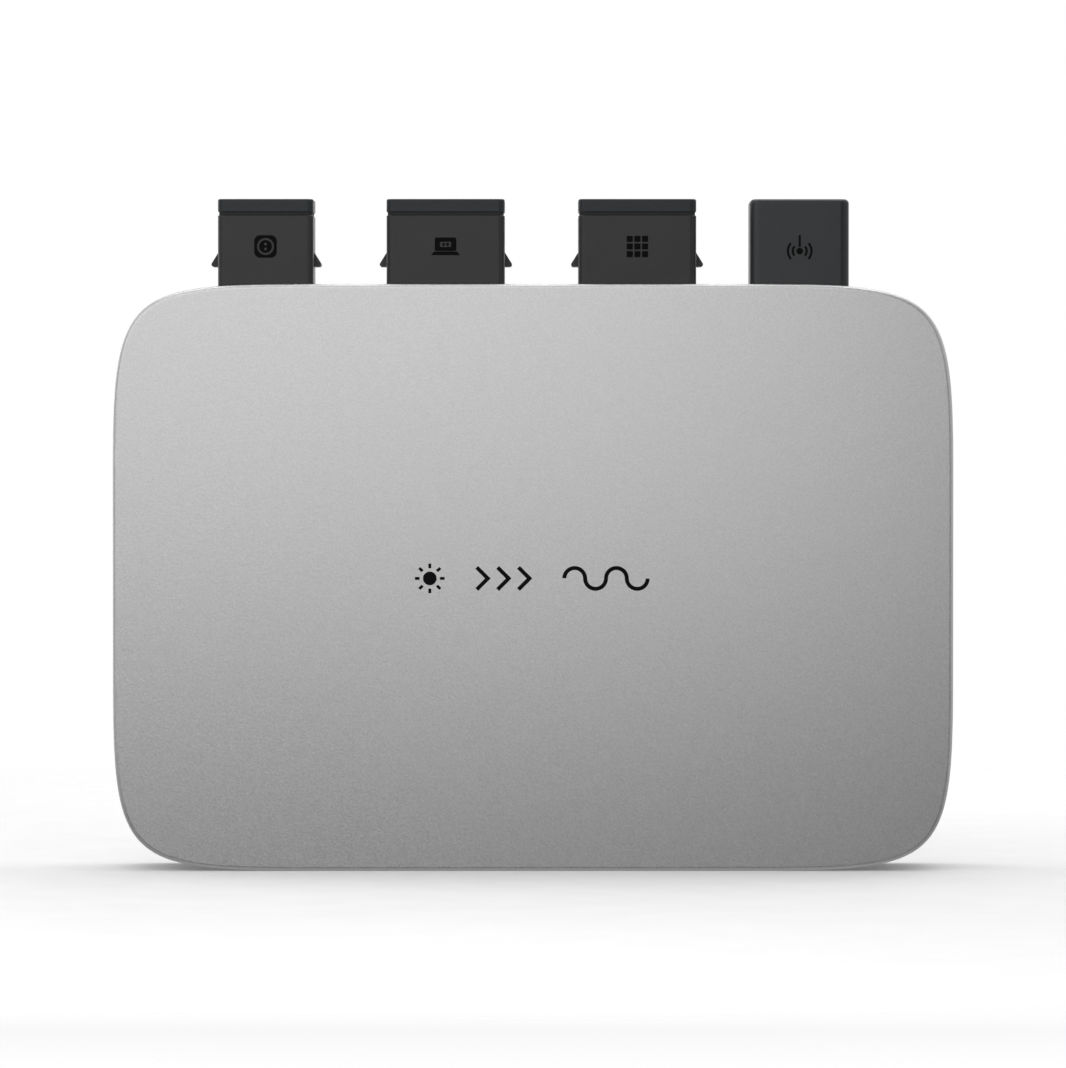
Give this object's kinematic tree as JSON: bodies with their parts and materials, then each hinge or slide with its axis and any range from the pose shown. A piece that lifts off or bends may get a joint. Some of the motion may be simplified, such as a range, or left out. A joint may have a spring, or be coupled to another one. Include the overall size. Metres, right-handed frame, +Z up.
{
  "type": "micro inverter",
  "caption": "Flat soft-cornered aluminium power box that stands upright, with capped sockets and an antenna block along its top and a finned, tapped back.",
  "frame": {"origin": "centre of the case's bottom, midway between the front face and the fin tips", "axes": "+X to the right seen from the front, +Y from the front face to the fins, +Z up to the sockets"},
  "size_m": [0.242, 0.033, 0.1936],
  "materials": {
    "case_aluminium": "fine bead-blasted and clear-anodised, neutral silver",
    "heatsink_aluminium": "die-cast, blasted and clear-anodised",
    "socket_plastic": "moulded glass-filled nylon, charcoal, satin",
    "cap_plastic": "moulded nylon, charcoal, satin",
    "antenna_plastic": "moulded plastic, charcoal, smooth satin",
    "carrier_plastic": "moulded grey nylon",
    "seal_rubber": "moulded silicone, black",
    "gasket_rubber": "foamed silicone, black",
    "contact_metal": "silver-plated brass",
    "screw_steel": "stainless steel",
    "board_laminate": "glass-epoxy laminate with green solder mask",
    "board_copper": "etched copper",
    "ferrite": "sintered dark ferrite",
    "winding_copper": "enamelled copper wire",
    "bobbin_plastic": "moulded phenolic",
    "capacitor_can": "drawn aluminium can",
    "film_capacitor_case": "potted box",
    "relay_case": "sealed moulded box",
    "inductor_case": "pressed powder block",
    "varistor_coat": "epoxy dip coat",
    "fuse_body": "ceramic tube with end caps",
    "chip_black": "moulded package",
    "shield_metal": "tinned steel",
    "pad_grey": "soft thermal pad",
    "insulation_film": "polycarbonate film",
    "light_clear": "clear polycarbonate, frosted end",
    "lamp_white": "moulded lamp package",
    "vent_plastic": "moulded nylon, black",
    "membrane": "expanded PTFE",
    "lead_jacket": "micro coax jacket"
  },
  "bodies": {
    "case": {"ac_port_carrier": "carrier_plastic", "ac_port_contacts": "contact_metal", "ac_port_flange_seal": "seal_rubber", "ac_port_shell": "socket_plastic", "antenna_board": "board_laminate", "antenna_cover": "antenna_plastic", "antenna_flange_seal": "seal_rubber", "antenna_lead": "lead_jacket", "antenna_plugs": "contact_metal", "antenna_trace": "board_copper", "battery_port_carrier": "carrier_plastic", "battery_port_contacts": "contact_metal", "battery_port_flange_seal": "seal_rubber", "battery_port_shell": "socket_plastic", "board_screws": "screw_steel", "boost_inductors": "inductor_case", "case_gasket": "gasket_rubber", "case_screws": "screw_steel", "choke_core": "ferrite", "choke_windings": "winding_copper", "control_card": "board_laminate", "control_chips": "chip_black", "control_header": "bobbin_plastic", "dc_capacitors": "capacitor_can", "film_capacitors": "film_capacitor_case", "front_cover": "case_aluminium", "fuse": "fuse_body", "grid_relays": "relay_case", "insulation_sheet": "insulation_film", "light_pipe": "light_clear", "main_board": "board_laminate", "port_screws": "screw_steel", "power_transistors": "chip_black", "pv_port_carrier": "carrier_plastic", "pv_port_contacts": "contact_metal", "pv_port_flange_seal": "seal_rubber", "pv_port_shell": "socket_plastic", "radio_module": "board_laminate", "radio_shield": "shield_metal", "rear_heatsink": "heatsink_aluminium", "status_lamp": "lamp_white", "thermal_pads": "pad_grey", "transformer_bobbins": "bobbin_plastic", "transformer_cores": "ferrite", "transformer_windings": "winding_copper", "varistors": "varistor_coat", "vent_membrane": "membrane", "vent_nut": "vent_plastic", "vent_plug": "vent_plastic", "vent_seal": "seal_rubber", "winding_pads": "pad_grey"},
    "ac_cap": {"ac_port_cap": "cap_plastic", "ac_port_cap_seal": "seal_rubber"},
    "battery_cap": {"battery_port_cap": "cap_plastic", "battery_port_cap_seal": "seal_rubber"},
    "pv_cap": {"pv_port_cap": "cap_plastic", "pv_port_cap_seal": "seal_rubber"}
  },
  "joints": [
    {"name": "ac_cap_pull", "type": "slide", "parent": "case", "child": "ac_cap", "axis": [0, 0, 1], "range_m": [0, 0.03]},
    {"name": "battery_cap_pull", "type": "slide", "parent": "case", "child": "battery_cap", "axis": [0, 0, 1], "range_m": [0, 0.03]},
    {"name": "pv_cap_pull", "type": "slide", "parent": "case", "child": "pv_cap", "axis": [0, 0, 1], "range_m": [0, 0.03]}
  ]
}
